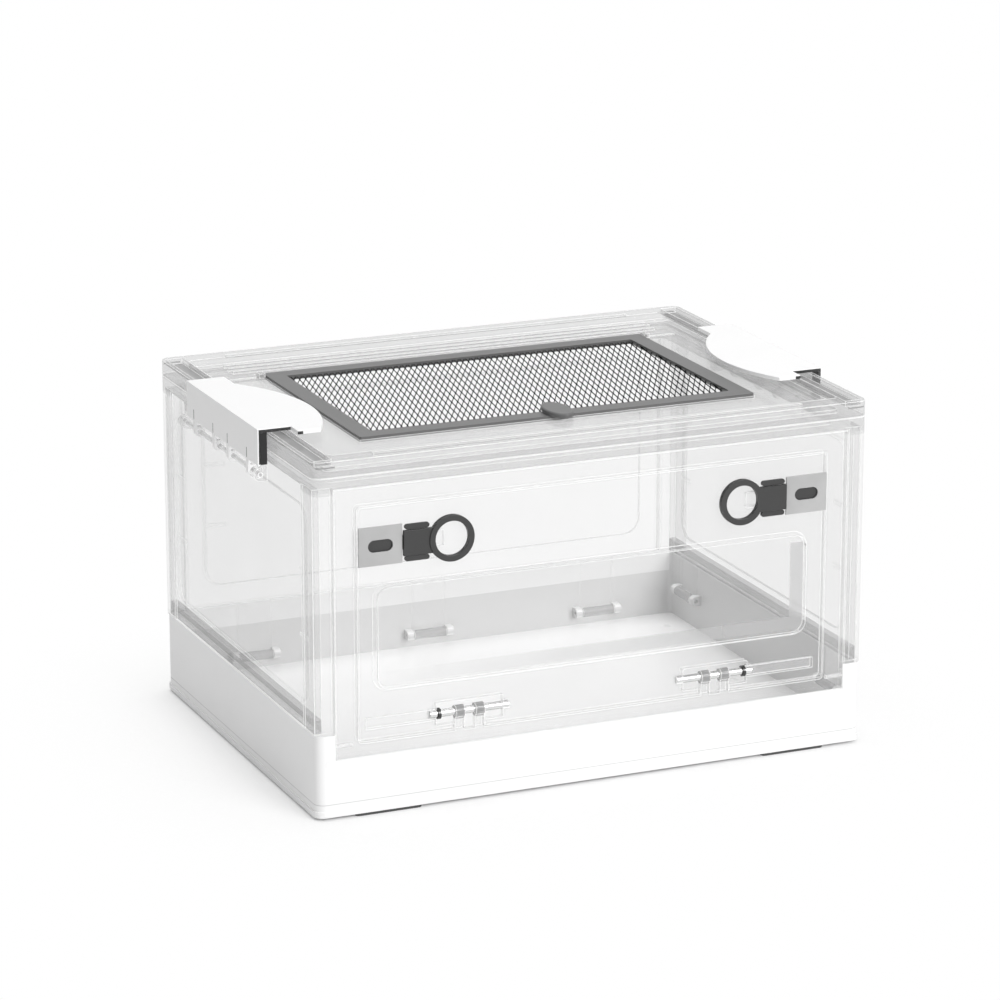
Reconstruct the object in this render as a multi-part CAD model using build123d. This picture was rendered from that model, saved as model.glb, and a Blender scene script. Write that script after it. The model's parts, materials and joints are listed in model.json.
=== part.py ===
from build123d import *
import os

os.makedirs("parts", exist_ok=True)

# Foldable breeding box: a white tray, four clear walls that fold in flat, a clear top frame
# with corner posts, a clear lid with a mesh door, and two white side clips.
# Millimetres. X runs along the front, the front faces -Y, Z is up, and the box stands on z = 0.

# overall sizes
length = 395.0
depth = 295.0
height = 240.0
corner_radius = 7.0

# tray
foot_height = 2.0
tray_height = 57.0
tray_wall = 3.0
tray_floor = 3.0
floor_top = 8.0
sill_height = 40.0
plinth_height = 4.0
plinth_step = 0.8
plinth_rim = 5.0
foot_length = 46.0
foot_width = 10.0

# running gaps
seat_gap = 0.5
side_gap = 0.5
knuckle_gap = 0.4
pin_gap = 0.05

# fold hinges: the rear wall folds lowest, then the side walls, and the front wall lies on top
fold_pin_radius = 1.5
fold_barrel_radius = 3.5
leg_width = 25.0
lug_width = 5.0
leg_thickness = 3.0
rear_fold_height = 18.0
side_fold_rise = 13.0
front_fold_rise = 9.0
front_pin_length = 17.0
front_boss_length = 5.0
front_boss_height = 3.6
front_toe_chamfer = 2.0
long_leg_inset = 50.0
side_leg_inset = 28.5

# walls
corner_post_width = 14.0
long_wall_inset = 0.5
long_wall_thickness = 6.0
side_wall_inset = 2.0
side_wall_thickness = 5.0
wall_border = 15.0
pane_thickness = 2.2
pane_corner = 12.0
rib_height = 0.8

# top frame and lid
lid_height = 11.0
frame_thickness = 8.0
frame_width = 17.5
post_lip_length = 22.0
post_lip_thickness = 1.6
lid_border = 14.5
lid_plate_drop = 5.0
lid_plate_thickness = 3.0
channel_width = 12.0
channel_margin = 3.0
channel_depth = 4.0
channel_end = 5.0
groove_width = 3.0
groove_depth = 2.0

# mesh door
mesh_side_margin = 55.5
mesh_end_margin = 57.0
mesh_door_centre = 1.5
mesh_door_thickness = 3.2
mesh_bar = 12.5
mesh_thickness = 1.0
mesh_columns = 22
mesh_rows = 13
mesh_strand = 1.7
mesh_ledge = 6.0
mesh_pin_inset = 3.2
mesh_pin_radius = 1.5
mesh_ear_width = 4.5
knob_length = 34.0
knob_width = 18.0
knob_thickness = 3.0
knob_shaft_radius = 3.0

# front door
door_side_margin = 16.0
door_bottom_margin = 10.5
door_top_margin = 14.0
door_set_back = 1.5
window_side_margin = 13.5
window_bottom_margin = 33.5
window_top_margin = 55.0
window_depth = 3.6
window_corner = 8.0
door_pin_rise = 11.5
door_pin_radius = 2.6
door_pin_length = 55.0
left_hinge_inset = 77.0
right_hinge_inset = 80.0
door_lug_width = 6.5
door_lug_spacing = 14.0
hinge_window_height = 15.0
pin_track_length = 50.0
pin_track_height = 7.0

# latches
latch_drop = 26.0
bolt_tip_inset = 2.5
latch_plate_length = 30.0
latch_plate_height = 26.0
latch_plate_thickness = 1.2
latch_slot_length = 17.0
latch_slot_height = 8.0
latch_travel = 8.0
tongue_length = 20.0
tongue_height = 17.0
tongue_thickness = 2.6
bolt_height = 9.4
bolt_thickness = 2.4
ring_outer_radius = 15.5
ring_inner_radius = 11.6
ring_thickness = 3.6
guide_length = 17.0
guide_height = 3.4

# side clips
clip_front = -67.0
clip_rear = 71.0
clip_pin_drop = 10.0
clip_pin_offset = 3.5
clip_pin_radius = 1.6
clip_skirt_thickness = 2.0
clip_skirt_drop = 2.5
clip_skirt_gap = 5.0
clip_flap_thickness = 2.6
clip_flap_width = 27.0
clip_tab_reach = 52.0
clip_tab_front = -80.0
clip_tab_rear = 55.0
clip_hooks = (-46.0, -9.0, 19.0, 57.0)
clip_hook_width = 4.0
clip_hook_radius = 3.6
clip_lug_radius = 4.6
clip_lug_width = 8.0
clip_lug_front = -58.0
clip_lug_rear = 84.0

half_length = length / 2
half_depth = depth / 2
frame_bottom = height - lid_height - frame_thickness
frame_top = frame_bottom + frame_thickness
lid_plate_top = height - lid_plate_drop
long_wall_width = length - 2 * (corner_post_width + side_gap)
side_fold_height = rear_fold_height + side_fold_rise
front_fold_height = sill_height + front_fold_rise
wall_top = frame_bottom - seat_gap
fold_pin_length = leg_width + 2 * (knuckle_gap + lug_width)
long_wall_face = half_depth - long_wall_inset
long_wall_inner = long_wall_face - long_wall_thickness
side_wall_face = half_length - side_wall_inset
side_wall_inner = side_wall_face - side_wall_thickness
side_wall_width = 2 * (long_wall_inner - side_gap)
rear_fold_axis = half_depth - tray_wall - fold_barrel_radius - side_gap
front_fold_axis = long_wall_face - long_wall_thickness / 2
front_boss_start = long_wall_width / 2 + side_gap
front_pin_end = front_boss_start + front_boss_length
side_fold_axis = half_length - tray_wall - fold_barrel_radius - side_gap
long_leg_reach = long_wall_width / 2 - long_leg_inset
side_leg_reach = side_wall_width / 2 - side_leg_inset
long_wall_legs = (-long_leg_reach, 0.0, long_leg_reach)
side_wall_legs = (-side_leg_reach, side_leg_reach)
post_depth = half_depth - long_wall_inner
door_width = long_wall_width - 2 * door_side_margin
door_bottom = sill_height + door_bottom_margin
door_top = frame_bottom - door_top_margin
door_thickness = long_wall_thickness - door_set_back
window_width = door_width - 2 * window_side_margin
window_bottom = door_bottom + window_bottom_margin
window_top = door_top - window_top_margin
door_pin_height = door_bottom + door_pin_rise
door_hinges = (left_hinge_inset - door_width / 2, door_width / 2 - right_hinge_inset)
latch_height = door_top - latch_drop
door_face = -long_wall_face
door_axis = door_face + door_thickness / 2
door_opening_bottom = door_bottom - 1.1
door_opening_top = door_top + 0.8
door_opening_width = door_width + 1.2
mesh_door_length = length - 2 * mesh_side_margin
mesh_door_depth = depth - 2 * mesh_end_margin
mesh_front = mesh_door_centre - mesh_door_depth / 2
mesh_rear = mesh_door_centre + mesh_door_depth / 2
mesh_bottom = lid_plate_top - 1.5
mesh_axis_y = mesh_rear - mesh_pin_inset
mesh_axis_z = mesh_bottom + mesh_door_thickness / 2
clip_axis = half_length + clip_pin_offset
clip_pin_height = frame_bottom - clip_pin_drop
clip_skirt_bottom = frame_bottom - clip_skirt_drop
clip_underside = height + 0.4


def block(x0, x1, y0, y1, z0, z1):
    """A box between two corners."""
    return Pos((x0 + x1) / 2, (y0 + y1) / 2, (z0 + z1) / 2) * Box(abs(x1 - x0), abs(y1 - y0), abs(z1 - z0))


def slab(width, breadth, radius, z0, z1):
    """A flat slab with rounded corners, centred on the Z axis."""
    return Pos(0, 0, z0) * extrude(RectangleRounded(width, breadth, radius), z1 - z0)


def rod_x(radius, x0, x1, y, z):
    return Pos((x0 + x1) / 2, y, z) * Rot(0, 90, 0) * Cylinder(radius, x1 - x0)


def rod_y(radius, y0, y1, x, z):
    return Pos(x, (y0 + y1) / 2, z) * Rot(90, 0, 0) * Cylinder(radius, y1 - y0)


def upright(width, z0, z1, radius, y0, y1):
    """A rounded rectangle standing in the XZ plane, between two depths."""
    outline = RectangleRounded(width, z1 - z0, radius)
    standing = Pos(0, y1, (z0 + z1) / 2) * Rot(90, 0, 0) * extrude(outline, y1 - y0)
    return standing


def turned(shape, degrees):
    """Turns a part made for the front to another side of the box."""
    return Rot(0, 0, degrees) * shape


def fold_lugs(centres, wall_inside, axis, fold_height):
    """Pairs of lugs on the tray's inner wall, made for the front side."""
    lugs = []
    for centre in centres:
        for side in (-1, 1):
            inner = centre + side * (leg_width / 2 + knuckle_gap)
            outer = inner + side * lug_width
            x0, x1 = min(inner, outer), max(inner, outer)
            root = block(x0, x1, -wall_inside - 0.5, -axis, fold_height - fold_barrel_radius,
                         fold_height + fold_barrel_radius)
            nose = rod_x(fold_barrel_radius, x0, x1, -axis, fold_height)
            hole = rod_x(fold_pin_radius + pin_gap, x0 - 1, x1 + 1, -axis, fold_height)
            lugs.append(root + nose - hole)
    return lugs


def fold_pins(centres, axis, fold_height):
    reach = fold_pin_length / 2
    return [rod_x(fold_pin_radius, c - reach, c + reach, -axis, fold_height) for c in centres]


def fold_legs(shape, centres, axis, fold_height, leg_outer, bottom):
    """Adds to a wall the legs that reach down to its fold pins, each with a round lower end."""
    leg_inner = leg_outer - leg_thickness
    for centre in centres:
        x0, x1 = centre - leg_width / 2, centre + leg_width / 2
        end = rod_x(fold_barrel_radius, x0, x1, -axis, fold_height)
        end -= block(x0 - 1, x1 + 1, -leg_inner, -axis + fold_barrel_radius + 1, 0, fold_height + 10)
        shape += block(x0, x1, -leg_outer, -leg_inner, fold_height, bottom + 4) + end
    for centre in centres:
        shape -= rod_x(fold_pin_radius + pin_gap, centre - leg_width, centre + leg_width, -axis, fold_height)
    return shape


def fold_knuckles(centres, axis, fold_height, face):
    """The inner halves of the fold barrels, which lie against the inner face of their legs."""
    knuckles = []
    for centre in centres:
        x0, x1 = centre - leg_width / 2, centre + leg_width / 2
        knuckle = rod_x(fold_barrel_radius, x0, x1, -axis, fold_height)
        knuckle -= block(x0 - 1, x1 + 1, -face - 10, -face, 0, fold_height + 10)
        knuckles.append(knuckle - rod_x(fold_pin_radius + pin_gap, x0 - 1, x1 + 1, -axis, fold_height))
    return knuckles


def make_tray():
    wall_inset = 2 * plinth_step
    body = slab(length, depth, corner_radius, foot_height, foot_height + plinth_height)
    body += slab(length - wall_inset, depth - wall_inset, corner_radius, foot_height, tray_height)
    inside = slab(length - 2 * tray_wall, depth - 2 * tray_wall, corner_radius - tray_wall,
                  floor_top, tray_height + 1)
    underside = slab(length - 2 * plinth_rim, depth - 2 * plinth_rim, corner_radius / 2,
                     foot_height, floor_top - tray_floor)
    body = body - inside - underside
    notch = long_wall_width / 2 + side_gap
    body -= block(-notch, notch, -half_depth - 1, -half_depth + tray_wall + 1, sill_height, tray_height + 1)
    wall_y = half_depth - tray_wall
    wall_x = half_length - tray_wall
    for side in (-1, 1):
        boss = block(side * front_boss_start, side * front_pin_end, -wall_y - 0.5, -long_wall_inner - 0.1,
                     front_fold_height - front_boss_height, front_fold_height + front_boss_height)
        ends = sorted((side * (front_boss_start - 1), side * front_pin_end))
        body += boss
        body -= rod_x(fold_pin_radius + pin_gap, *ends, -front_fold_axis, front_fold_height)
    for lug in fold_lugs(long_wall_legs, wall_y, rear_fold_axis, rear_fold_height):
        body += turned(lug, 180)
    for lug in fold_lugs(side_wall_legs, wall_x, side_fold_axis, side_fold_height):
        body += turned(lug, 90)
        body += turned(lug, 270)
    return body


def make_feet():
    x = half_length - plinth_rim - foot_length
    y = half_depth - foot_width
    pads = []
    for sx in (-1, 1):
        for sy in (-1, 1):
            pad = extrude(SlotOverall(foot_length, foot_width / 2), foot_height)
            pads.append(Pos(sx * x, sy * (y + foot_width / 2 + 1.5), 0) * pad)
    return pads


def make_fold_pins():
    pins = []
    for side in (-1, 1):
        ends = sorted((side * (front_pin_end - front_pin_length), side * front_pin_end))
        pins.append(rod_x(fold_pin_radius, *ends, -front_fold_axis, front_fold_height))
    pins += [turned(p, 180) for p in fold_pins(long_wall_legs, rear_fold_axis, rear_fold_height)]
    for angle in (90, 270):
        pins += [turned(p, angle) for p in fold_pins(side_wall_legs, side_fold_axis, side_fold_height)]
    return pins


def make_wall(width, face, thickness, bottom, axis, fold_height, leg_outer, centres):
    """A framed wall with a thin pane and stiffening ribs, made for the front side."""
    inner = face - thickness
    wall = block(-width / 2, width / 2, -face, -inner, bottom, wall_top)
    pane_width = width - 2 * wall_border
    pane = (pane_width, bottom + wall_border, wall_top - wall_border, pane_corner)
    wall -= upright(*pane, -face - 1, -inner - pane_thickness)
    for share in (1 / 3, 2 / 3):
        z = bottom + wall_border + (wall_top - bottom - 2 * wall_border) * share
        for side in (-1, 1):
            edge = side * pane_width / 2
            wall += block(edge, edge - side * wall_border, -inner - pane_thickness - rib_height,
                          -inner - pane_thickness, z - 1, z + 1)
    return fold_legs(wall, centres, axis, fold_height, leg_outer, bottom)


def make_front_frame():
    bottom = sill_height + seat_gap
    half = long_wall_width / 2
    frame = block(-half, half, -long_wall_face, -long_wall_inner, bottom, wall_top)
    frame -= upright(door_opening_width, door_opening_bottom, door_opening_top, 3,
                     -long_wall_face - 1, -long_wall_inner + 1)
    for centre in door_hinges:
        for side in (-1, 1):
            x = centre + side * door_lug_spacing / 2
            x0, x1 = x - door_lug_width / 2, x + door_lug_width / 2
            lug = block(x0, x1, door_axis - 2.2, door_axis + 2.2, bottom + 4, door_pin_height)
            lug += rod_x(door_pin_radius + 1.4, x0, x1, door_axis, door_pin_height)
            frame += lug
        frame -= rod_x(door_pin_radius + pin_gap, centre - door_pin_length, centre + door_pin_length,
                       door_axis, door_pin_height)
    toe = block(-half - 1, half + 1, -long_wall_inner - front_toe_chamfer, -long_wall_inner + 1,
                bottom - 1, bottom + front_toe_chamfer)
    toe -= rod_x(front_toe_chamfer, -half - 2, half + 2, -long_wall_inner - front_toe_chamfer,
                 bottom + front_toe_chamfer)
    frame -= toe
    for side in (-1, 1):
        ends = sorted((side * (front_pin_end - front_pin_length - 0.3), side * (half + 1)))
        frame -= rod_x(fold_pin_radius + pin_gap, *ends, -front_fold_axis, front_fold_height)
    return frame


def make_door_pin(centre):
    """A metal hinge pin with a flat head at its outer end."""
    reach = door_pin_length / 2
    head_side = 1 if centre > 0 else -1
    pin = rod_x(door_pin_radius, centre - reach, centre + reach, door_axis, door_pin_height)
    head = centre + head_side * (reach - 6)
    return pin + rod_x(door_pin_radius + 1.1, head - 1, head + 1, door_axis, door_pin_height)


def make_front_door():
    inner = door_face + door_thickness
    door = upright(door_width, door_bottom, door_top, 2.5, door_face, inner)
    window = (window_width, window_bottom, window_top, window_corner)
    back = (window_width + 4, window_bottom - 2, window_top + 2, window_corner + 2)
    door += upright(*back, inner - 1, door_face + window_depth + 1.9)
    door -= upright(*window, door_face - 1, door_face + window_depth)
    for centre in door_hinges:
        reach = door_pin_length / 2 - 4
        door -= block(centre - reach, centre + reach, door_face - 1, inner + 1,
                      door_pin_height - hinge_window_height / 2, door_pin_height + hinge_window_height / 2)
        notch = door_lug_spacing / 2 + door_lug_width / 2 + knuckle_gap
        door -= block(centre - notch, centre + notch, door_face - 1, inner + 1, door_bottom - 1, door_pin_height)
        door -= rod_x(door_pin_radius + pin_gap, centre - door_pin_length / 2 - 0.5,
                      centre + door_pin_length / 2 + 0.5, door_axis, door_pin_height)
        outward = 1 if centre > 0 else -1
        start = centre + outward * (door_pin_length / 2 - 5)
        end = start + outward * pin_track_length
        half_track = pin_track_height / 2
        door -= block(start, end, door_face - 1, door_face + 2.6,
                      door_pin_height - half_track, door_pin_height + half_track)
    for side in (-1, 1):
        pocket_end = door_width / 2 - latch_plate_length - tongue_length - latch_travel - 1
        half_bolt = bolt_height / 2 + 0.4
        door -= block(side * (door_width / 2 + 1), side * pocket_end, door_face - 1,
                      door_face + bolt_thickness + 0.4, latch_height - half_bolt, latch_height + half_bolt)
    return door


def make_latch_plate(side):
    """The pale cover over a latch bolt, with a slot that shows the bolt."""
    outer = door_width / 2
    inner = outer - latch_plate_length
    half = latch_plate_height / 2
    plate = block(side * inner, side * outer, door_face - latch_plate_thickness, door_face,
                  latch_height - half, latch_height + half)
    slot = extrude(SlotOverall(latch_slot_length, latch_slot_height), 10)
    x = side * (inner + outer) / 2
    return plate - Pos(x, door_face + 5, latch_height) * Rot(90, 0, 0) * slot


def make_latch_slider(side):
    """The dark sliding bolt with its finger ring."""
    plate_inner = door_width / 2 - latch_plate_length
    front = door_face - 0.3
    bolt = block(side * (door_width / 2 - bolt_tip_inset), side * (plate_inner - tongue_length), door_face + 0.2,
                 door_face + bolt_thickness, latch_height - bolt_height / 2, latch_height + bolt_height / 2)
    neck = block(side * (plate_inner - latch_travel - 0.5), side * (plate_inner - tongue_length),
                 front, door_face + 0.5, latch_height - bolt_height / 2, latch_height + bolt_height / 2)
    ring_x = side * (plate_inner - tongue_length - ring_outer_radius + 2)
    tongue = block(side * (plate_inner - 0.5), ring_x, front - tongue_thickness, front,
                   latch_height - tongue_height / 2, latch_height + tongue_height / 2)
    disc = rod_y(ring_outer_radius, front - ring_thickness, front, ring_x, latch_height)
    hole = rod_y(ring_inner_radius, front - ring_thickness - 1, front + 1, ring_x, latch_height)
    return bolt + neck + ((tongue + disc) - hole)


def make_latch_guides(side):
    """The two dark rails that the tongue runs between."""
    plate_inner = door_width / 2 - latch_plate_length
    rails = []
    for updown in (-1, 1):
        z = latch_height + updown * (tongue_height / 2 + 0.4 + guide_height / 2)
        rail = extrude(SlotOverall(guide_length, guide_height), 1.8)
        x = side * (plate_inner - 1.5 - guide_length / 2)
        rails.append(Pos(x, door_face, z) * Rot(90, 0, 0) * rail)
    return rails


def make_top_frame():
    """The ring that holds the walls' top edges, with its corner posts and clip lugs."""
    ring = slab(length, depth, corner_radius, frame_bottom, frame_top)
    ring -= slab(length - 2 * frame_width, depth - 2 * frame_width, 4, frame_bottom - 1, frame_top + 1)
    post_bottom = tray_height + seat_gap - 0.2
    envelope = slab(length, depth, corner_radius, post_bottom, frame_bottom + 1)
    for sx in (-1, 1):
        for sy in (-1, 1):
            post = block(sx * half_length, sx * (half_length - corner_post_width), sy * half_depth,
                         sy * (half_depth - post_depth), post_bottom, frame_bottom + 1)
            post += block(sx * half_length, sx * (half_length - post_lip_thickness), sy * half_depth,
                          sy * (half_depth - post_lip_length), post_bottom, frame_bottom + 1)
            ring += post & envelope
    for side in (-1, 1):
        for centre in (clip_lug_front, clip_lug_rear):
            y0, y1 = centre - clip_lug_width / 2, centre + clip_lug_width / 2
            lug = rod_y(clip_lug_radius, y0, y1, side * clip_axis, clip_pin_height)
            lug += block(side * (clip_axis - 0.5), side * (half_length - 1.3), y0, y1,
                         clip_pin_height - clip_lug_radius, frame_bottom + 3)
            ring += lug
        ring -= rod_y(clip_pin_radius + pin_gap, clip_lug_front - clip_lug_width,
                      clip_lug_rear + clip_lug_width, side * clip_axis, clip_pin_height)
    return ring


def make_lid():
    """The clear lid: a raised border with side channels round a lower plate with an opening."""
    base = frame_top + 0.3
    lid = slab(length, depth, corner_radius, base, height)
    lid -= slab(length - 2 * lid_border - 2, depth - 2 * lid_border, 4, lid_plate_top, height + 1)
    lid -= slab(length - 2 * lid_border, depth - 2 * lid_border, 4, base - 1,
                lid_plate_top - lid_plate_thickness)
    for side in (-1, 1):
        outer = half_length - channel_margin
        reach = half_depth - channel_end
        lid -= block(side * outer, side * (outer - channel_width), -reach, reach,
                     height - channel_depth, height + 1)
        y = half_depth - lid_border * 0.6
        lid -= block(-half_length + 45, half_length - 45, side * y, side * (y - groove_width),
                     height - groove_depth, height + 1)
    opening_x = mesh_door_length / 2 + 0.4
    lid -= block(-opening_x, opening_x, mesh_front - 0.4, mesh_rear + 0.4, mesh_bottom - 0.3, height)
    through_x = mesh_door_length / 2 - mesh_ledge
    lid -= block(-through_x, through_x, mesh_front + mesh_ledge, mesh_rear + 0.4, base, height)
    lid -= block(-opening_x, opening_x, mesh_rear - 2 * mesh_ledge, mesh_rear + 0.4, base, height)
    lid -= Pos(0, mesh_front + mesh_bar / 2, base) * Cylinder(knob_shaft_radius + 3, 2 * frame_thickness)
    for rib in (0.25, 0.5, 0.75):
        y = mesh_rear + 4 + (half_depth - lid_border - mesh_rear - 6) * rib
        lid += block(-half_length + 38, half_length - 38, y - 1.2, y + 1.2, lid_plate_top - 1, lid_plate_top + 2)
    for side in (-1, 1):
        ear_inner = side * (mesh_door_length / 2 + 0.4)
        ear_outer = ear_inner + side * mesh_ear_width
        ear = block(ear_inner, ear_outer, mesh_axis_y - 3.4, mesh_axis_y + 3.4, lid_plate_top - 2,
                    mesh_axis_z + 3)
        lid += ear
    lid -= rod_x(mesh_pin_radius + pin_gap, -half_length + 30, half_length - 30, mesh_axis_y, mesh_axis_z)
    return lid


def make_mesh_frame():
    top = mesh_bottom + mesh_door_thickness
    frame = Pos(0, mesh_door_centre, 0) * slab(mesh_door_length, mesh_door_depth, 1.5, mesh_bottom, top)
    frame -= Pos(0, mesh_door_centre, 0) * slab(mesh_door_length - 2 * mesh_bar,
                                               mesh_door_depth - 2 * mesh_bar, 1.5, mesh_bottom - 1, top + 1)
    for side in (-1, 1):
        inner = side * (mesh_door_length / 2 - 2)
        outer = side * (mesh_door_length / 2 + mesh_ear_width - 0.4)
        frame += rod_x(mesh_pin_radius, min(inner, outer), max(inner, outer), mesh_axis_y, mesh_axis_z)
    frame -= Pos(0, mesh_front + mesh_bar / 2, mesh_bottom) * Cylinder(knob_shaft_radius + pin_gap, 20)
    return frame


def make_mesh_sheet():
    """An expanded mesh: one thin sheet with staggered diamond gaps."""
    width = mesh_door_length - 2 * mesh_bar - 0.2
    breadth = mesh_door_depth - 2 * mesh_bar - 0.2
    pitch_x = width / mesh_columns
    pitch_y = breadth / mesh_rows
    gap_x = pitch_x / 2 - mesh_strand / 2
    gap_y = pitch_y / 2 - mesh_strand / 2
    diamond = Polygon((-gap_x, 0), (0, -gap_y), (gap_x, 0), (0, gap_y))
    places = []
    for row in range(mesh_rows):
        for column in range(mesh_columns):
            x = (column + 0.5) * pitch_x - width / 2
            y = (row + 0.5) * pitch_y - breadth / 2
            places.append(Pos(x, y))
    sheet = RectangleRounded(width, breadth, 2.5) - [place * diamond for place in places]
    middle = mesh_bottom + mesh_door_thickness / 2
    return Pos(0, mesh_door_centre, middle - mesh_thickness / 2) * extrude(sheet, mesh_thickness)


def make_knob():
    """The oval turn knob, with its shaft and the collar that keeps it in the bar."""
    top = mesh_bottom + mesh_door_thickness
    y = mesh_front + mesh_bar / 2
    cap = extrude(Ellipse(knob_width / 2, knob_length / 2), knob_thickness)
    cap = fillet(cap.edges().group_by(Axis.Z)[-1], 1.2)
    knob = Pos(0, y, top + 0.3) * cap
    knob += Pos(0, y, mesh_bottom - 0.3) * extrude(Circle(knob_shaft_radius), mesh_door_thickness + 1)
    knob += Pos(0, y, mesh_bottom - 1.3) * extrude(Circle(knob_shaft_radius + 1.5), 1)
    return knob


def make_clip(side):
    """A white over-centre clip: a skirt on a hinge pin and a flap with a thumb tab."""
    outer = half_length + clip_skirt_gap + clip_skirt_thickness
    inner = outer - clip_skirt_thickness
    top = clip_underside + clip_flap_thickness
    clip = block(-outer, -inner, clip_front, clip_rear, clip_skirt_bottom, top)
    clip += block(-outer, -outer + clip_flap_width, clip_front, clip_rear, clip_underside, top)
    tab_edge = -outer + clip_flap_width - 4
    tip = -outer + clip_tab_reach
    middle = (clip_tab_front + clip_tab_rear) / 2
    edge = ThreePointArc((tab_edge, clip_tab_rear), (tip, middle + 8), (tip - 13, clip_tab_front))
    outline = edge + Polyline((tip - 13, clip_tab_front), (tab_edge, clip_tab_front), (tab_edge, clip_tab_rear))
    clip += Pos(0, 0, clip_underside) * extrude(make_face(outline), clip_flap_thickness)
    clip += block(-half_length + 11, -half_length + 13, clip_front + 8, clip_rear - 8,
                  clip_underside - 2.2, clip_underside + 1)
    for y in clip_hooks:
        y0, y1 = y - clip_hook_width / 2, y + clip_hook_width / 2
        hook = rod_y(clip_hook_radius, y0, y1, -clip_axis, clip_pin_height)
        hook += block(-outer, -inner, y0, y1, clip_pin_height, clip_skirt_bottom + 1)
        hook -= rod_y(clip_pin_radius + pin_gap, y0 - 1, y1 + 1, -clip_axis, clip_pin_height)
        clip += hook
    return clip if side < 0 else mirror(clip, Plane.YZ)


def make_clip_pin(side):
    y0 = clip_lug_front - clip_lug_width / 2
    y1 = clip_lug_rear + clip_lug_width / 2
    return rod_y(clip_pin_radius, y0, y1, side * clip_axis, clip_pin_height)


def save(name, shape):
    solids = shape if isinstance(shape, list) else [shape]
    export_step(Compound([s for part in solids for s in part.solids()]), f"parts/{name}.step")


long_leg = half_depth - tray_wall - 0.4
side_leg = half_length - tray_wall - 0.4
wall_bottom = tray_height + seat_gap
rear_wall = make_wall(long_wall_width, long_wall_face, long_wall_thickness, wall_bottom,
                      rear_fold_axis, rear_fold_height, long_leg, long_wall_legs)
rear_knuckles = fold_knuckles(long_wall_legs, rear_fold_axis, rear_fold_height, long_leg - leg_thickness)
side_wall = make_wall(side_wall_width, side_wall_face, side_wall_thickness, wall_bottom,
                      side_fold_axis, side_fold_height, side_leg, side_wall_legs)
side_knuckles = fold_knuckles(side_wall_legs, side_fold_axis, side_fold_height, side_leg - leg_thickness)

save("base_tray", make_tray())
save("feet", make_feet())
save("fold_pins", make_fold_pins())
save("rear_wall", turned(rear_wall, 180))
save("rear_wall_knuckles", [turned(k, 180) for k in rear_knuckles])
save("right_wall", turned(side_wall, 90))
save("right_wall_knuckles", [turned(k, 90) for k in side_knuckles])
save("left_wall", turned(side_wall, 270))
save("left_wall_knuckles", [turned(k, 270) for k in side_knuckles])
save("front_frame", make_front_frame())
save("front_door", make_front_door())
save("left_door_pin", make_door_pin(door_hinges[0]))
save("right_door_pin", make_door_pin(door_hinges[1]))
for name, side in (("left", -1), ("right", 1)):
    save(f"{name}_latch_plate", make_latch_plate(side))
    save(f"{name}_latch_slider", make_latch_slider(side))
    save(f"{name}_latch_guides", make_latch_guides(side))
    save(f"{name}_clip", make_clip(side))
    save(f"{name}_clip_pin", make_clip_pin(side))
save("top_frame", make_top_frame())
save("lid", make_lid())
save("mesh_door_frame", make_mesh_frame())
save("mesh_sheet", make_mesh_sheet())
save("mesh_door_knob", make_knob())
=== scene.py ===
import json
import math

import bmesh
import bpy
from mathutils import Matrix, Vector

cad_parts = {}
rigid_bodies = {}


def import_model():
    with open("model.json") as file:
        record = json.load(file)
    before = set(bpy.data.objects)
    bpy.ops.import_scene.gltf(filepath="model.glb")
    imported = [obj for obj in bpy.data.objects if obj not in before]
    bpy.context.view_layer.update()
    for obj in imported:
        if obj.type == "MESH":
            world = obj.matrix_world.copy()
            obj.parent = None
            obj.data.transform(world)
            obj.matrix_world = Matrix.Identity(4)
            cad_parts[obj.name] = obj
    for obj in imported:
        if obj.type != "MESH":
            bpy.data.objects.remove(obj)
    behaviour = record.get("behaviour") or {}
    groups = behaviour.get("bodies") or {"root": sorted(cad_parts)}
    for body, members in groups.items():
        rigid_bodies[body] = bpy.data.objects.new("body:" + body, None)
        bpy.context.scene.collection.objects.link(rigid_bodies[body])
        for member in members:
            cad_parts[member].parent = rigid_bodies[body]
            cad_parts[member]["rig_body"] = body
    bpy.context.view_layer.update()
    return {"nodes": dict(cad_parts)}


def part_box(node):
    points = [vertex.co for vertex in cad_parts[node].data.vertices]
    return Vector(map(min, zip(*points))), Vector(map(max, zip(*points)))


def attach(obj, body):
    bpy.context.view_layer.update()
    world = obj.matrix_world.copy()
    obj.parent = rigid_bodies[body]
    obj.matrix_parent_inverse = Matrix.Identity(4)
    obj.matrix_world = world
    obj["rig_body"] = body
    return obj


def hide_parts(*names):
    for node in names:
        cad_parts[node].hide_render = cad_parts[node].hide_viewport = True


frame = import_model()
nodes = frame["nodes"]
print("frame loaded:", len(nodes), "nodes")


# shader helpers
class Wire:                              # a node output that maths can be written on
    def __init__(self, tree, socket):
        self.tree, self.socket = tree, socket

    def maths(self, operation, other=None, flip=False, clamp=False):
        node = self.tree.nodes.new("ShaderNodeMath")
        node.operation, node.use_clamp = operation, clamp
        values = [self] if other is None else ([other, self] if flip else [self, other])
        for slot, value in enumerate(values):
            join(self.tree, value, node.inputs[slot])
        return Wire(self.tree, node.outputs[0])

    def __add__(self, other): return self.maths("ADD", other)
    def __radd__(self, other): return self.maths("ADD", other, True)
    def __sub__(self, other): return self.maths("SUBTRACT", other)
    def __rsub__(self, other): return self.maths("SUBTRACT", other, True)
    def __mul__(self, other): return self.maths("MULTIPLY", other)
    def __rmul__(self, other): return self.maths("MULTIPLY", other, True)
    def __pow__(self, other): return self.maths("POWER", other)
    def __gt__(self, other): return self.maths("GREATER_THAN", other)
    def __lt__(self, other): return self.maths("LESS_THAN", other)
    def size(self): return self.maths("ABSOLUTE")
    def limited(self): return self.maths("ADD", 0.0, clamp=True)


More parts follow.
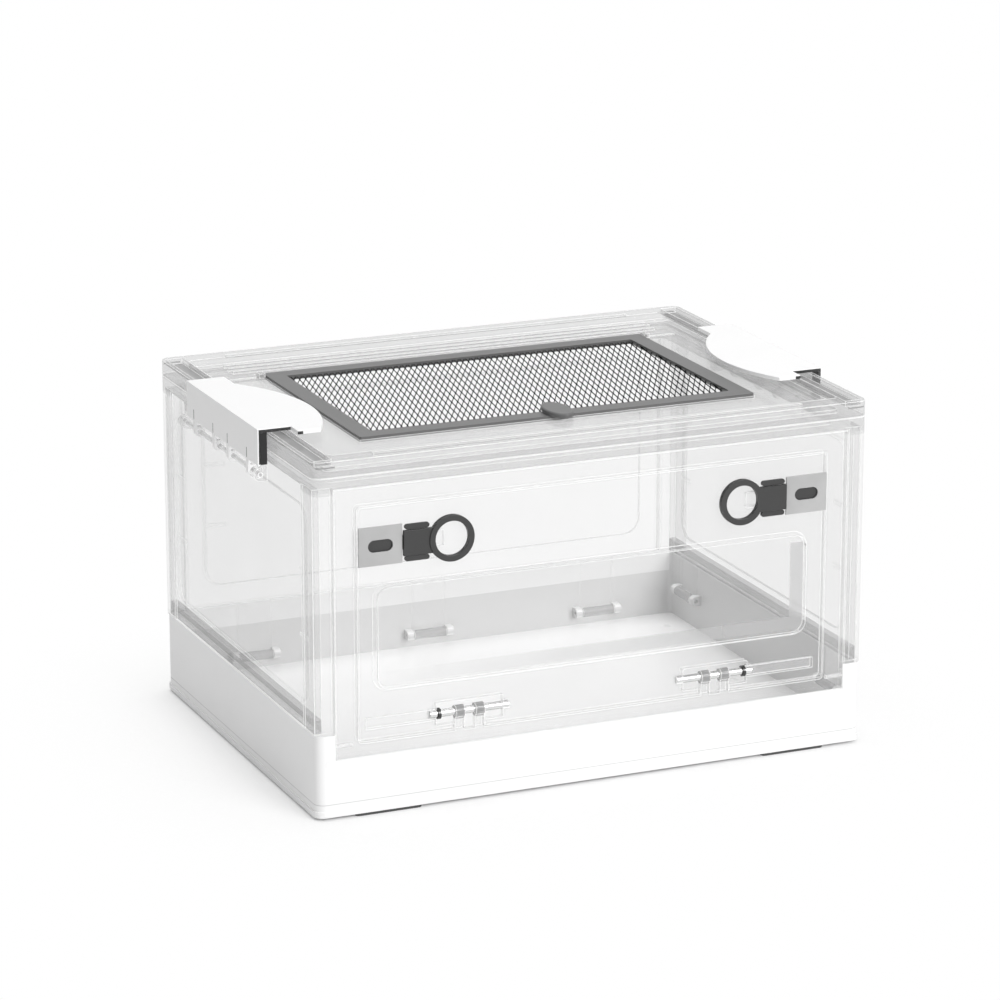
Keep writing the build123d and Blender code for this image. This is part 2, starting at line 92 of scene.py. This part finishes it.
def join(tree, value, socket):
    if isinstance(value, Wire):
        tree.links.new(value.socket, socket)
    elif value is not None:
        socket.default_value = value


class Finish:                            # one material and the tree that paints it
    def __init__(self, name):
        self.material = bpy.data.materials.new(name)
        self.material.use_nodes = True
        self.tree = self.material.node_tree
        self.tree.nodes.clear()

    def node(self, kind, settings=None, inputs=None, output=0):
        made = self.tree.nodes.new(kind)
        for key, value in (settings or {}).items():
            setattr(made, key, value)
        for key, value in (inputs or {}).items():
            join(self.tree, value, made.inputs[key])
        return Wire(self.tree, made.outputs[output]) if len(made.outputs) else None

    def place(self):
        return self.node("ShaderNodeTexCoord", output="Object")

    def parts(self, vector):
        split = self.node("ShaderNodeSeparateXYZ", None, {0: vector})
        return [Wire(self.tree, output) for output in split.socket.node.outputs]

    def axes(self):
        return self.parts(self.place())

    def facings(self):
        face = self.node("ShaderNodeNewGeometry", output="True Normal")
        turn = {"vector_type": "NORMAL", "convert_from": "WORLD", "convert_to": "OBJECT"}
        return self.parts(self.node("ShaderNodeVectorTransform", turn, {0: face}))     # the same at every pose

    def noise(self, scale, detail=2.0, roughness=0.5):
        return self.node("ShaderNodeTexNoise", None,
                         {"Vector": self.place(), "Scale": scale, "Detail": detail, "Roughness": roughness})

    def blend(self, factor, first, second):
        made = self.tree.nodes.new("ShaderNodeMix")
        made.data_type = "RGBA"
        for key, value in ((0, factor), (6, first), (7, second)):
            join(self.tree, value, made.inputs[key])
        return Wire(self.tree, made.outputs[2])

    def bump(self, height, strength, distance):
        return self.node("ShaderNodeBump", None, {"Height": height, "Strength": strength, "Distance": distance})

    def principled(self, **values):
        named = {key.replace("_", " "): value for key, value in values.items()}
        shader = self.node("ShaderNodeBsdfPrincipled", None, named)
        self.output(shader)
        return self.material

    def output(self, shader):
        self.node("ShaderNodeOutputMaterial", None, {"Surface": shader})
        return self.material


def grey(value):
    return (value, value, value, 1.0)


def between(value, low, high):
    return (value > low) * (value < high)


def near(value, place, half):
    return (value - place).size() < half


# finishes, with the places in metres that they change at
whiteFinish = {"shade": 0.86, "mottle": 0.012, "mottleScale": 30.0, "mottleDetail": 4.0, "roughness": 0.3,
               "roughnessRange": 0.12, "peel": 900.0, "peelStrength": 0.25, "peelHeight": 0.00003,
               "footLine": 0.0105, "footLineHalf": 0.0003, "footLineShade": 0.62}
wellPaintedShadeAndLight = {"innerHalf": 0.1955, "innerRear": 0.1465, "innerFront": -0.1, "low": 0.005, "high": 0.0565,
              "line": 0.041, "above": 0.3, "wallPaintedShade": 0.64, "bedHigh": 0.02, "bedPaintedLight": 0.97}
clipFinish = {"shade": 0.87, "mouthFrom": 0.2195, "mouthPaintedShade": 0.02, "flapEdge": 0.1778, "skirtRim": 0.2036,
              "flapRim": 0.2425, "hooks": (-0.046, -0.009, 0.019, 0.057), "slitHalf": 0.0005, "slitTop": 0.2262}
clearFinish = {"shade": 0.6, "facing": 0.07, "grazing": 0.3, "slope": 0.35, "slopePower": 3.0,
               "edgeWidth": 0.0011, "edgeGain": 9.0, "edge": 0.7,
               "haloWidth": 0.0034, "haloGain": 3.0, "halo": 0.22, "haloPaintedShade": 0.62,
               "ripple": 22.0, "rippleDetail": 1.5, "rippleVeil": 0.03, "rippleStrength": 0.15,
               "rippleHeight": 0.0004, "roughness": 0.09, "bend": 1.45,
               "trayTop": 0.0568, "trayFront": -0.1405, "inTray": 0.15}
lidPaintedShade = {"channelInner": 0.1823, "channelOuter": 0.1948, "channelFloor": 0.236,
             "grooveInner": 0.1357, "grooveOuter": 0.1389, "grooveFloor": 0.238, "grooveEnd": 0.1526,
             "floorHalf": 0.0005, "shade": 0.3, "veil": 0.96}
ringStrip = {"low": 0.2175, "shade": 0.42, "veil": 0.17}
railStrip = {"low": 0.0575, "high": 0.0668, "shade": 0.3, "veil": 0.42}
doorPaintedShade = {"left": -0.1535, "right": 0.1535, "ledgeLow": 0.0855, "ledgeHigh": 0.0945, "ledgeFade": 3.2,
              "side": 0.144, "sideHigh": 0.146, "trackFrom": 0.1085, "trackTo": 0.1600,
              "trackLow": 0.0585, "trackHigh": 0.0655, "weight": 0.8, "shade": 0.42, "veil": 0.46}
lugStrips = {"left": -0.090, "right": 0.087, "spacing": 0.007, "half": 0.0033, "low": 0.0572, "high": 0.0665,
             "shade": 0.3, "veil": 0.5}
darkFinish = {"cloud": 40.0, "cloudDetail": 3.0, "range": 0.15, "roughnessRange": 0.15, "grain": 500.0,
              "grainStrength": 0.4, "grainHeight": 0.00004}
steelFinish = {"dull": 0.62, "bright": 0.78, "streak": 900.0, "roughness": 0.14, "roughnessRange": 0.1,
               "leftHead": -0.1115, "rightHead": 0.1085, "headHalf": 0.0013, "headShade": 0.08}


def mottled(f, middle, mottle):
    # a white that drifts a little, as moulded plastic does
    return f.blend(mottle, grey(middle - whiteFinish["mottle"]), grey(middle + whiteFinish["mottle"]))


def finishWhite(f, shade, mottle):
    w = whiteFinish
    peel = f.bump(f.noise(w["peel"]), w["peelStrength"], w["peelHeight"])
    rough = w["roughness"] + (mottle - 0.5) * w["roughnessRange"]
    return f.principled(Base_Color=shade, Roughness=rough, Normal=peel)


def makeWhite(name):
    f, w, well = Finish(name), whiteFinish, wellPaintedShadeAndLight
    mottle = f.noise(w["mottleScale"], w["mottleDetail"])
    x, y, z = f.axes()
    face = f.facings()
    shade = mottled(f, w["shade"], mottle)
    shade = f.blend(near(z, w["footLine"], w["footLineHalf"]), shade, grey(w["footLineShade"]))      # a grey line painted round the tray near its foot
    # painted shade on the well's inner walls: full on the side walls and on the rear wall below the line, faint
    # above it; painted light on its floor
    within = (x.size() < well["innerHalf"]) * (y < well["innerRear"]) * between(z, well["low"], well["high"])
    low = ((z < well["line"]) * (1.0 - well["above"]) + well["above"] + (face[0].size() > 0.5)).limited()
    walls = within * (face[2].size() < 0.5) * (y > well["innerFront"]) * low
    shade = f.blend(walls, shade, grey(well["wallPaintedShade"]))       # painted shade on the well's inner walls
    # painted light: the well's floor in a lighter white
    paintedLightBed = within * (face[2] > 0.8) * (z < well["bedHigh"])
    shade = f.blend(paintedLightBed, shade, grey(well["bedPaintedLight"]))
    return finishWhite(f, shade, mottle)


def makeClipWhite(name):
    # as the tray's white, with painted shade, near black, on the end faces of the flap and the skirt at both ends
    # and in the slits over the hooks
    f, c = Finish(name), clipFinish
    mottle = f.noise(whiteFinish["mottleScale"], whiteFinish["mottleDetail"])
    face = f.facings()
    x, y, z = f.axes()
    high = z > c["mouthFrom"]
    dark = (face[1].size() > 0.6) * between(x.size(), c["flapEdge"], c["skirtRim"]) * high * (z < c["flapRim"])
    for hook in c["hooks"]:
        dark = dark + near(y, hook, c["slitHalf"]) * (z < c["slitTop"]) * high * (x.size() > c["skirtRim"])
    shade = f.blend(dark.limited(), mottled(f, c["shade"], mottle), grey(c["mouthPaintedShade"]))
    return finishWhite(f, shade, mottle)


def edgeMask(f, width, gain):
    # one where the rounded normal leaves the flat one, as light gathers in a moulded edge
    rounded = f.node("ShaderNodeBevel", {"samples": 4}, {"Radius": width})
    flat = f.node("ShaderNodeNewGeometry", output="True Normal")
    along = f.node("ShaderNodeVectorMath", {"operation": "DOT_PRODUCT"}, {0: rounded, 1: flat}, output="Value")
    return ((1.0 - along) * gain).limited()


def makeClear(name, facing=1.0, band=None, tone=clearFinish["shade"], inTray=clearFinish["inTray"]):
    f, c = Finish(name), clearFinish
    ripple = f.noise(c["ripple"], c["rippleDetail"])
    slope = f.node("ShaderNodeLayerWeight", None, {"Blend": c["slope"]}, output="Facing")
    edge = edgeMask(f, c["edgeWidth"], c["edgeGain"])
    halo = edgeMask(f, c["haloWidth"], c["haloGain"])
    veil = c["facing"] * facing + (slope ** c["slopePower"]) * c["grazing"]
    # painted shade: around the edges the veil is denser and greyer
    veil = veil + (ripple - 0.5) * c["rippleVeil"] + halo * c["halo"]
    shade = f.blend(halo, grey(tone), grey(tone * c["haloPaintedShade"]))
    alpha = (veil + edge * c["edge"]).limited()
    x, y, z = f.axes()
    if band:
        inside, strip = band(x, y, z)
        shade = f.blend(inside, shade, grey(strip["shade"]))
        alpha = (alpha + inside * strip["veil"]).limited()
    # painted highlight: white along the edges
    shade = f.blend(edge, shade, grey(1.0))
    sunk = (z < c["trayTop"]) * (y > c["trayFront"])             # fold legs, pale against the tray's wall
    alpha = alpha * (1.0 - sunk * (1.0 - inTray))
    wavy = f.bump(ripple, c["rippleStrength"], c["rippleHeight"])
    return f.principled(Base_Color=shade, Roughness=c["roughness"], Alpha=alpha, Normal=wavy, IOR=c["bend"])


# bands: where a clear piece is painted greyer and more opaque, and how much; the lid's and the door's bands are
# painted shade in their recesses
def lidBand(x, y, z):
    # painted shade on the floors of the two long channels and the two grooves
    s = lidPaintedShade
    channel = between(x.size(), s["channelInner"], s["channelOuter"]) * near(z, s["channelFloor"], s["floorHalf"])
    groove = between(y.size(), s["grooveInner"], s["grooveOuter"]) * near(z, s["grooveFloor"], s["floorHalf"])
    return (channel + groove * (x.size() < s["grooveEnd"])).limited(), s


def ringBand(x, y, z):
    # the ring over the walls is painted greyer and more opaque than its posts
    return z > ringStrip["low"], ringStrip


def railBand(x, y, z):
    # the bottom rails of the side walls, seen over the tray's edge
    return between(z, railStrip["low"], railStrip["high"]), railStrip


def doorBand(x, y, z):
    # painted shade on the recess's lower ledge and right side, and in the right pin's track; the ledge's shade
    # grows towards the right
    s = doorPaintedShade
    ledge = between(x, s["left"], s["right"]) * between(z, s["ledgeLow"], s["ledgeHigh"])
    ledge = ledge * ((x - s["left"]) * s["ledgeFade"]).limited()
    upright = between(x, s["side"], s["right"]) * between(z, s["ledgeHigh"], s["sideHigh"])
    track = between(x, s["trackFrom"], s["trackTo"]) * between(z, s["trackLow"], s["trackHigh"])
    return (ledge + upright * s["weight"] + track * s["weight"]).limited(), s


def lugBand(x, y, z):
    # the frame's lugs darken where the steel pins run through them
    s = lugStrips
    left, right = (near((x - s[side]).size(), s["spacing"], s["half"]) for side in ("left", "right"))
    return ((left + right) * between(z, s["low"], s["high"])).limited(), s


def makeDark(name, shade, roughness, shine=0.5):
    f, d = Finish(name), darkFinish
    cloud = f.noise(d["cloud"], d["cloudDetail"])
    colour = f.blend(cloud, grey(shade * (1.0 - d["range"])), grey(shade * (1.0 + d["range"])))
    texture = f.bump(f.noise(d["grain"]), d["grainStrength"], d["grainHeight"])
    rough = roughness + (cloud - 0.5) * d["roughnessRange"]
    return f.principled(Base_Color=colour, Roughness=rough, Normal=texture, Specular_IOR_Level=shine)


def makeSteel(name):
    f, t = Finish(name), steelFinish
    x, y, z = f.axes()
    across = f.node("ShaderNodeCombineXYZ", None, {1: y, 2: z})
    streak = f.node("ShaderNodeTexNoise", None, {"Vector": across, "Scale": t["streak"]})
    head = near(x, t["leftHead"], t["headHalf"]) + near(x, t["rightHead"], t["headHalf"])     # the dark end discs
    colour = f.blend(streak, grey(t["dull"]), grey(t["bright"]))
    colour = f.blend(head.limited(), colour, grey(t["headShade"]))
    return f.principled(Base_Color=colour, Metallic=1.0, Roughness=t["roughness"] + streak * t["roughnessRange"])


finishes = {
    "white": makeWhite("whitePlastic"),
    "clipWhite": makeClipWhite("clipWhite"),
    "clear": makeClear("clearPlastic"),
    "lid": makeClear("clearLid", 4.0, lidBand, 0.46),
    "side": makeClear("clearSide", 1.3, railBand, 0.52),
    "knuckle": makeClear("clearKnuckle", 9.0, None, 0.4, 1.0),
    "door": makeClear("clearDoor", 1.0, doorBand),
    "front": makeClear("clearFront", 1.7, lugBand),
    "ring": makeClear("clearRing", 1.5, ringBand, 0.6),
    "rod": makeClear("clearRod", 3.5, None, 0.9),
    "cover": makeDark("latchCover", 0.40, 0.5),
    "dark": makeDark("darkPlastic", 0.03, 0.38),
    "meshFrame": makeDark("meshFrame", 0.112, 0.42),
    "mesh": makeDark("meshPaint", 0.002, 0.9, 0.0),
    "steel": makeSteel("pinSteel"),
    "shadowSheet": makeDark("clipShadowSheet", 0.015, 0.8),
    "foot": makeDark("footRubber", 0.07, 0.8),
}
wearing = {
    "white": ["base_tray"],
    "clipWhite": ["left_clip", "right_clip"],
    "clear": ["rear_wall"],
    "knuckle": ["rear_wall_knuckles", "left_wall_knuckles", "right_wall_knuckles"],
    "side": ["left_wall", "right_wall"],
    "ring": ["top_frame"],
    "door": ["front_door"],
    "front": ["front_frame"],
    "lid": ["lid"],
    "rod": ["fold_pins", "left_clip_pin", "right_clip_pin"],
    "cover": ["left_latch_plate", "right_latch_plate"],
    "dark": ["left_latch_slider", "right_latch_slider", "left_latch_guides", "right_latch_guides"],
    "meshFrame": ["mesh_door_frame", "mesh_door_knob"],
    "mesh": ["mesh_sheet"],
    "steel": ["left_door_pin", "right_door_pin"],
    "foot": ["feet"],
}
for finish, members in wearing.items():
    for name in members:
        mesh = nodes[name].data
        mesh.materials.clear()
        mesh.materials.append(finishes[finish])
clearFinishes = ("clear", "side", "knuckle", "ring", "door", "front", "lid", "rod")
for finish in clearFinishes:                 # clear plastic lets the light through to the tray
    for name in wearing[finish]:
        nodes[name].visible_shadow = False
        nodes[name].visible_diffuse = False
print("finishes on")


# softened copies of the moulded pieces
softening = {"merge": 0.00001, "flatAngle": 1.5, "edgeAngle": 35.0}
shells = (          # node, piece, edge width, segments, finish, slot
    ("left_clip", "leftClipShell", 0.0007, 3, "clipWhite", "white_plastic"),
    ("left_latch_slider", "leftLatchSliderShell", 0.0005, 2, "dark", "dark_plastic"),
    ("left_latch_plate", "leftLatchPlateShell", 0.0003, 2, "cover", "latch_cover"),
    ("right_clip", "rightClipShell", 0.0007, 3, "clipWhite", "white_plastic"),
    ("right_latch_slider", "rightLatchSliderShell", 0.0005, 2, "dark", "dark_plastic"),
    ("right_latch_plate", "rightLatchPlateShell", 0.0003, 2, "cover", "latch_cover"),
    ("base_tray", "trayShell", 0.0006, 2, "white", "white_plastic"),
    ("mesh_door_frame", "meshFrameShell", 0.0005, 2, "meshFrame", "mesh_grey"),
)


def softened(node, piece, width, segments, finish, slot):
    mesh = nodes[node].data.copy()
    mesh.name = piece
    work = bmesh.new()
    work.from_mesh(mesh)
    bmesh.ops.remove_doubles(work, verts=work.verts, dist=softening["merge"])
    flat = math.radians(softening["flatAngle"])
    bmesh.ops.dissolve_limit(work, angle_limit=flat, verts=work.verts, edges=work.edges)
    work.to_mesh(mesh)
    work.free()
    made = bpy.data.objects.new(piece, mesh)
    bpy.context.scene.collection.objects.link(made)
    bevel = made.modifiers.new("edge", "BEVEL")
    bevel.width, bevel.segments = width, segments
    bevel.limit_method, bevel.angle_limit = "ANGLE", math.radians(softening["edgeAngle"])
    bevel.use_clamp_overlap = True
    mesh.materials.clear()
    mesh.materials.append(finishes[finish])
    for face in mesh.polygons:
        face.use_smooth = True
    normals = made.modifiers.new("normals", "WEIGHTED_NORMAL")
    normals.keep_sharp = True
    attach(made, nodes[node]["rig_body"])
    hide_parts(node)
    print("softened", node)


for row in shells:
    softened(*row)


# painted shadow: a near-black sheet in the gap behind the front end of each clip's skirt, where there is only
# shade
clipShadowSheet = {"inner": 0.1978, "outer": 0.2024, "front": -0.0666, "rear": -0.0656, "low": 0.2190, "high": 0.2403}


def makeClipShadowSheet(side, sign):
    c = clipShadowSheet
    low = Vector((sign * c["inner"], c["front"], c["low"]))
    high = Vector((sign * c["outer"], c["rear"], c["high"]))
    extent = (abs(high.x - low.x), high.y - low.y, high.z - low.z, 1.0)
    work = bmesh.new()
    bmesh.ops.create_cube(work, size=1.0, matrix=Matrix.Translation((low + high) / 2) @ Matrix.Diagonal(extent))
    mesh = bpy.data.meshes.new(f"{side}ClipShadowSheet")
    work.to_mesh(mesh)
    work.free()
    mesh.materials.append(finishes["shadowSheet"])
    made = bpy.data.objects.new(f"{side}ClipShadowSheet", mesh)
    bpy.context.scene.collection.objects.link(made)
    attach(made, nodes[f"{side}_clip"]["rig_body"])


makeClipShadowSheet("left", -1)
makeClipShadowSheet("right", 1)
print("clips' hollows in")


# expanded mesh, with its long leaning diamonds
meshGauge = {"cellWidth": 0.0043, "cellLength": 0.0215, "lean": 0.0075, "strand": 0.00044, "sides": 4}


def meshTree():
    tree = bpy.data.node_groups.new("expandedMesh", "GeometryNodeTree")
    sockets = {}
    for name, kind in (("Width", "Float"), ("Depth", "Float"), ("Cell Width", "Float"), ("Cell Length", "Float"),
                       ("Lean", "Float"), ("Strand", "Float"), ("Sides", "Int"), ("Paint", "Material")):
        sockets[name] = tree.interface.new_socket(name, in_out="INPUT", socket_type="NodeSocket" + kind)
    tree.interface.new_socket("Mesh", in_out="OUTPUT", socket_type="NodeSocketGeometry")
    new, link = tree.nodes.new, tree.links.new
    start = new("NodeGroupInput")
    given = {name: Wire(tree, start.outputs[name]) for name in sockets}

    def vector(x, y):
        node = new("ShaderNodeCombineXYZ")
        join(tree, x, node.inputs[0])
        join(tree, y, node.inputs[1])
        return node.outputs[0]

    rowPitch = given["Cell Length"] * 0.5
    columns = (given["Width"].maths("DIVIDE", given["Cell Width"]) + 2.0).maths("FLOOR")
    rows = given["Depth"].maths("DIVIDE", rowPitch).maths("FLOOR")
    grid = new("GeometryNodeMeshGrid")
    join(tree, (columns - 1.0) * given["Cell Width"], grid.inputs["Size X"])
    join(tree, (rows - 1.0) * rowPitch, grid.inputs["Size Y"])
    join(tree, columns, grid.inputs["Vertices X"])
    join(tree, rows, grid.inputs["Vertices Y"])
    place = new("ShaderNodeSeparateXYZ")
    link(new("GeometryNodeInputPosition").outputs[0], place.inputs[0])
    shift = Wire(tree, place.outputs[1]).maths("DIVIDE", rowPitch) * ((given["Lean"] + given["Cell Width"]) * 0.5)
    shift = shift.maths("FLOORED_MODULO", given["Cell Width"]) - given["Cell Width"] * 0.5
    moved = new("GeometryNodeSetPosition")
    link(grid.outputs["Mesh"], moved.inputs["Geometry"])
    link(vector(shift, 0.0), moved.inputs["Offset"])
    diamond = new("GeometryNodeCurvePrimitiveQuadrilateral")
    diamond.mode = "POINTS"
    halfWidth, halfLean = given["Cell Width"] * 0.5, given["Lean"] * 0.5
    corners = ((-1.0 * halfWidth, 0.0), (-1.0 * halfLean, -1.0 * rowPitch), (halfWidth, 0.0), (halfLean, rowPitch))
    for number, (x, y) in enumerate(corners):
        link(vector(x, y), diamond.inputs[f"Point {number + 1}"])
    section = new("GeometryNodeCurvePrimitiveCircle")
    join(tree, given["Sides"], section.inputs["Resolution"])
    join(tree, given["Strand"], section.inputs["Radius"])
    strand = new("GeometryNodeCurveToMesh")
    link(diamond.outputs[0], strand.inputs["Curve"])
    link(section.outputs["Curve"], strand.inputs["Profile Curve"])
    copies = new("GeometryNodeInstanceOnPoints")
    link(moved.outputs["Geometry"], copies.inputs["Points"])
    link(strand.outputs["Mesh"], copies.inputs["Instance"])
    real = new("GeometryNodeRealizeInstances")
    link(copies.outputs["Instances"], real.inputs["Geometry"])
    painted = new("GeometryNodeSetMaterial")
    link(real.outputs["Geometry"], painted.inputs["Geometry"])
    link(start.outputs["Paint"], painted.inputs["Material"])
    end = new("NodeGroupOutput")
    link(painted.outputs["Geometry"], end.inputs["Mesh"])
    return tree, {name: item.identifier for name, item in sockets.items()}


def plainMesh(holder, name):
    # the evaluated result as a mesh of its own, so that no modifier is left
    depsgraph = bpy.context.evaluated_depsgraph_get()
    mesh = bpy.data.meshes.new_from_object(holder.evaluated_get(depsgraph))
    made = bpy.data.objects.new(name, mesh)
    bpy.context.scene.collection.objects.link(made)
    bpy.data.objects.remove(holder)
    return made


def makeExpandedMesh():
    low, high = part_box("mesh_sheet")
    tree, identifiers = meshTree()
    holder = bpy.data.objects.new("meshHolder", bpy.data.meshes.new("meshHolder"))
    bpy.context.scene.collection.objects.link(holder)
    maker = holder.modifiers.new("mesh", "NODES")
    maker.node_group = tree
    values = {"Width": high.x - low.x, "Depth": high.y - low.y, "Cell Width": meshGauge["cellWidth"],
              "Cell Length": meshGauge["cellLength"], "Lean": meshGauge["lean"], "Strand": meshGauge["strand"],
              "Sides": meshGauge["sides"], "Paint": finishes["mesh"]}
    for name, value in values.items():
        maker[identifiers[name]] = value
    made = plainMesh(holder, "expandedMesh")
    made.data.transform(Matrix.Translation((low + high) / 2))
    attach(made, nodes["mesh_sheet"]["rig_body"])
    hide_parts("mesh_sheet")
    print("expanded mesh:", len(made.data.polygons), "faces")


makeExpandedMesh()


# stage
studio = {"floorHalf": 6.0, "floorWhite": 0.9, "shadowReach": 0.14, "shadowSteep": 1.2, "worldGlow": 0.46}
lamps = {           # place, size and power; all look at the middle of the box
    "key": ((0.9, -2.6, 1.5), 1.6, 60.0),
    "fill": ((-2.2, -1.4, 1.4), 1.8, 2.0),
    "top": ((0.1, 0.5, 2.6), 1.8, 27.0),
}
lampTarget = (0.0, 0.0, 0.1)


def makeFloor():
    f = Finish("floorWhite")
    camera = f.node("ShaderNodeLightPath", output="Is Camera Ray")
    dull = f.node("ShaderNodeBsdfDiffuse", None, {"Color": grey(studio["floorWhite"])})
    glow = f.node("ShaderNodeEmission", None, {"Color": grey(1.0), "Strength": 1.0})
    airy = f.node("ShaderNodeAmbientOcclusion", {"samples": 8}, {"Distance": studio["shadowReach"]}, output="AO")
    mixed = f.node("ShaderNodeMixShader", None, {0: camera * airy ** studio["shadowSteep"], 1: dull, 2: glow})
    f.output(mixed)
    bpy.ops.mesh.primitive_plane_add(size=2 * studio["floorHalf"])
    floor = bpy.context.object
    floor.name = "floor"
    floor.data.materials.append(f.material)


def makeWorld():
    world = bpy.data.worlds.new("studio")
    bpy.context.scene.world = world
    world.use_nodes = True
    tree = world.node_tree
    tree.nodes.clear()
    path = tree.nodes.new("ShaderNodeLightPath")
    seen = Wire(tree, path.outputs["Is Camera Ray"]) + Wire(tree, path.outputs["Is Glossy Ray"])
    seen = (seen + Wire(tree, path.outputs["Is Transmission Ray"])).limited()
    sky = tree.nodes.new("ShaderNodeBackground")
    join(tree, seen * (1.0 - studio["worldGlow"]) + studio["worldGlow"], sky.inputs["Strength"])
    sky.inputs["Color"].default_value = grey(1.0)
    end = tree.nodes.new("ShaderNodeOutputWorld")
    tree.links.new(sky.outputs[0], end.inputs["Surface"])


def makeLamp(name, place, size, power):
    lamp = bpy.data.lights.new(name, "AREA")
    lamp.size, lamp.energy = size, power
    holder = bpy.data.objects.new(name, lamp)
    bpy.context.scene.collection.objects.link(holder)
    holder.location = place
    holder.rotation_euler = (Vector(lampTarget) - Vector(place)).to_track_quat("-Z", "Y").to_euler()


view = {"place": (-1.10106, -2.53687, 0.95331), "azimuth": -23.361, "elevation": 16.107,
        "focal": 4.220936, "sensor": 36.0}        # focal is in frame widths


def makeCamera():
    azimuth, elevation = math.radians(view["azimuth"]), math.radians(view["elevation"])
    back = Vector((math.sin(azimuth) * math.cos(elevation), -math.cos(azimuth) * math.cos(elevation),
                   math.sin(elevation)))
    lens = bpy.data.cameras.new("camera")
    lens.sensor_fit, lens.sensor_width = "HORIZONTAL", view["sensor"]
    lens.lens = view["sensor"] * view["focal"]
    camera = bpy.data.objects.new("camera", lens)
    bpy.context.scene.collection.objects.link(camera)
    camera.location = view["place"]
    camera.rotation_euler = (-back).to_track_quat("-Z", "Y").to_euler()
    bpy.context.scene.camera = camera


makeFloor()
makeWorld()
for name, (place, size, power) in lamps.items():
    makeLamp(name, place, size, power)
makeCamera()
bpy.context.scene.view_settings.view_transform = "Standard"
print("stage set")
